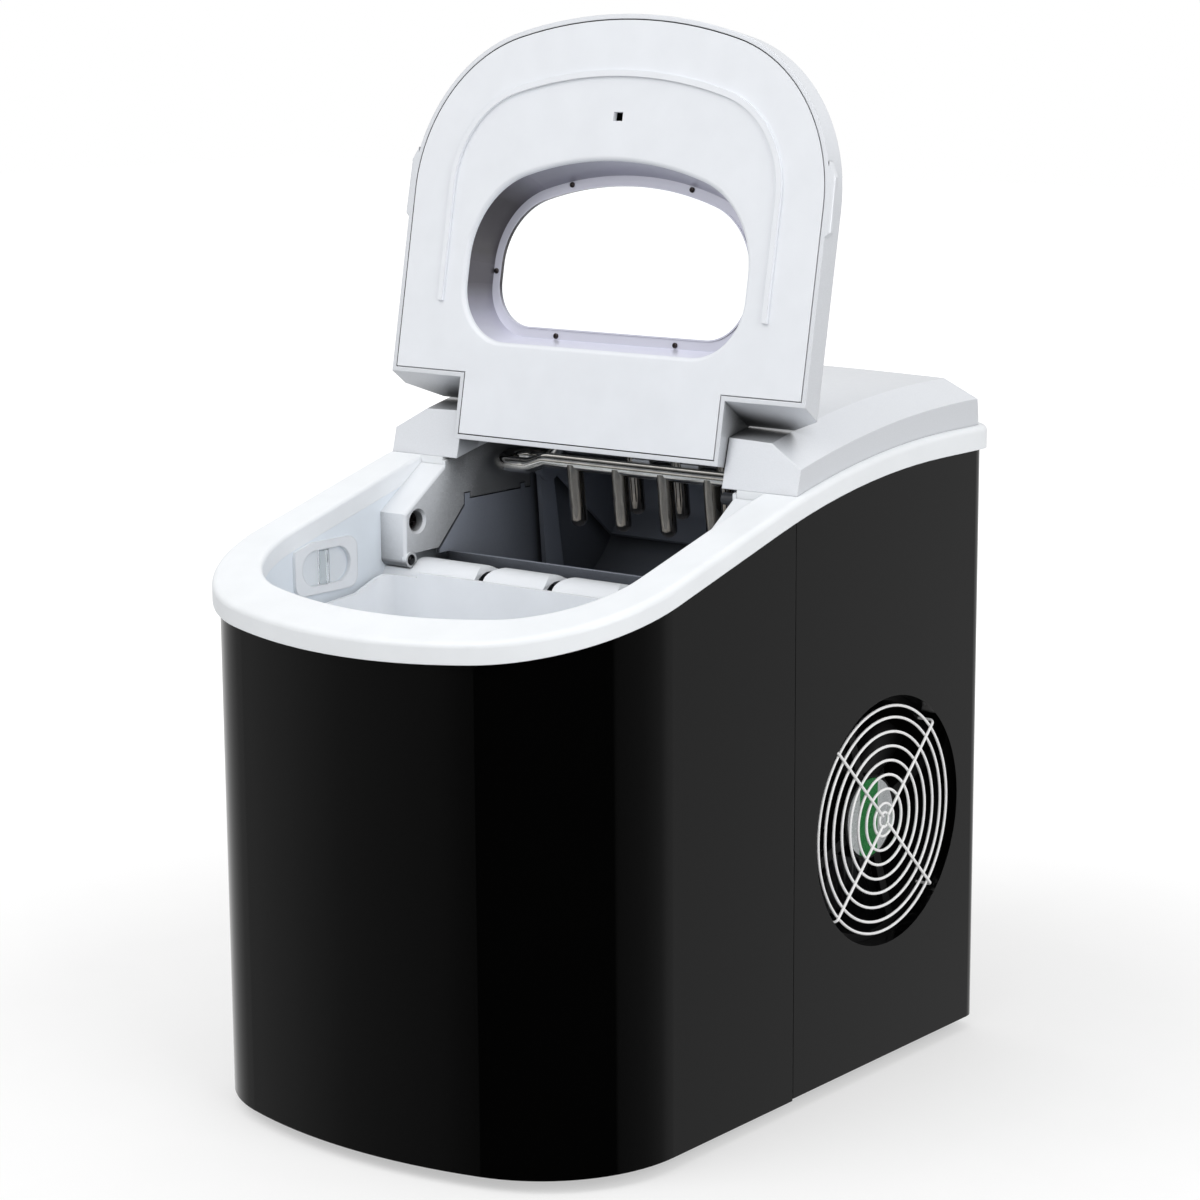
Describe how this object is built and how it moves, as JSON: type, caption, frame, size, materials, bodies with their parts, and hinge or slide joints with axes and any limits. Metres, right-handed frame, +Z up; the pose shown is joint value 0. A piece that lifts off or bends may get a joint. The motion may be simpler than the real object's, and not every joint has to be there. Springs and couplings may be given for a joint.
{
  "type": "countertop ice maker",
  "caption": "Tabletop ice machine, black bow-fronted body with a white rim, hinged windowed lid shown open over basket, freezing fingers and tilting tray, round fan grille in the side.",
  "frame": {"origin": "bottom centre of the machine on the table", "axes": "+Z up, front towards -Y, +X to the right seen from the front"},
  "size_m": [0.2446, 0.3296, 0.487],
  "materials": {
    "black_gloss": "gloss",
    "black_gloss_rear": "satin gloss",
    "black_pan": "matt",
    "foot_rubber": "matt",
    "white_ring": "soft gloss",
    "silver_cover": "silver satin paint",
    "silver_lid": "silver satin paint",
    "silver_panel": "pale silver satin",
    "dark_window_frame": "metallic grey",
    "clear_pane": "clear",
    "screw_steel": "plain",
    "pin_steel": "plain",
    "fascia_black": "gloss",
    "button_grey": "satin",
    "light_guide": "milky",
    "circuit_board": "plain",
    "light_liner": "pale bluish grey",
    "light_basket": "pale bluish grey",
    "light_ramp": "pale bluish grey",
    "light_bezel": "pale bluish grey",
    "clear_lens": "clear",
    "light_cover": "pale bluish grey",
    "eye_black": "gloss",
    "dark_housing": "satin",
    "dark_tray": "satin",
    "dark_shovel": "satin",
    "motor_black": "plain",
    "evaporator_nickel": "bright nickel",
    "bracket_steel": "plain",
    "hose_rubber": "translucent grey",
    "float_foam": "foam",
    "fan_black": "plain",
    "fan_label": "foil",
    "white_wire": "white coat",
    "compressor_black": "gloss",
    "condenser_aluminium": "plain",
    "copper": "plain copper",
    "brass_valve": "plain"
  },
  "bodies": {
    "machine": {"front_shell": "black_gloss", "rear_shell": "black_gloss_rear", "base_pan": "black_pan", "feet": "foot_rubber", "top_frame": "white_ring", "rear_cover": "silver_cover", "lid_hinge_pins": "pin_steel", "control_fascia": "fascia_black", "indicator_lights": "light_guide", "control_board": "circuit_board", "tank_liner": "light_liner", "ice_ramp": "light_ramp", "sight_bezel": "light_bezel", "sight_lens": "clear_lens", "lamp_housing": "black_pan", "sensor_cover_left": "light_cover", "sensor_cover_right": "light_cover", "sensor_screws": "screw_steel", "infrared_eyes": "eye_black", "tray_housing": "dark_housing", "tray_motor": "motor_black", "evaporator_tube": "evaporator_nickel", "evaporator_fingers": "evaporator_nickel", "evaporator_bracket": "bracket_steel", "water_pump": "motor_black", "pump_hose": "hose_rubber", "water_spout": "light_cover", "float_stem": "light_ramp", "drain_spout": "light_liner", "fan_frame": "fan_black", "fan_label": "fan_label", "fan_guard": "white_wire", "guard_arms": "white_wire", "compressor": "compressor_black", "compressor_mounts": "foot_rubber", "terminal_box": "motor_black", "condenser": "condenser_aluminium", "filter_drier": "copper", "gas_valve": "brass_valve", "refrigerant_lines": "copper", "cord_gland": "fascia_black", "shell_screws": "screw_steel"},
    "lid": {"lid_shell": "silver_lid", "lid_inner_panel": "silver_panel", "lid_window_frame": "dark_window_frame", "lid_window": "clear_pane", "lid_window_screws": "screw_steel"},
    "power_button": {"power_button": "button_grey"},
    "select_button": {"select_button": "button_grey"},
    "basket": {"ice_basket": "light_basket"},
    "tray": {"ice_tray": "dark_tray", "tray_shafts": "pin_steel"},
    "shovel": {"ice_shovel": "dark_shovel"},
    "float": {"water_float": "float_foam"},
    "drain_cap": {"drain_cap": "foot_rubber"},
    "fan": {"fan_rotor": "fan_black"}
  },
  "joints": [
    {"name": "lid_hinge", "type": "hinge", "parent": "machine", "child": "lid", "pos_m": [0, 0.01744, 0.30048], "axis": [-1, 0, 0], "range_deg": [-116.3, 0]},
    {"name": "power_press", "type": "slide", "parent": "machine", "child": "power_button", "axis": [0, 0, -1], "range_m": [0, 0.001], "stiffness_N_per_m": 600},
    {"name": "select_press", "type": "slide", "parent": "machine", "child": "select_button", "axis": [0, 0, -1], "range_m": [0, 0.001], "stiffness_N_per_m": 600},
    {"name": "basket_lift", "type": "slide", "parent": "machine", "child": "basket", "axis": [0, 0, 1], "range_m": [0, 0.15]},
    {"name": "tray_tilt", "type": "hinge", "parent": "machine", "child": "tray", "pos_m": [0, 0.072, 0.27], "axis": [1, 0, 0], "range_deg": [-140, 0]},
    {"name": "shovel_sweep", "type": "hinge", "parent": "machine", "child": "shovel", "pos_m": [0, 0.072, 0.27], "axis": [1, 0, 0], "range_deg": [-58, 0]},
    {"name": "float_rise", "type": "slide", "parent": "machine", "child": "float", "axis": [0, 0, 1], "range_m": [0, 0.05]},
    {"name": "drain_pull", "type": "slide", "parent": "machine", "child": "drain_cap", "axis": [-1, 0, 0], "range_m": [0, 0.02]},
    {"name": "fan_spin", "type": "hinge", "parent": "machine", "child": "fan", "pos_m": [0.09, 0.08045, 0.1204], "axis": [1, 0, 0], "continuous": true}
  ],
  "couplings": [
    {"joint": "shovel_sweep", "follows": "tray_tilt", "ratio": 0.414}
  ]
}
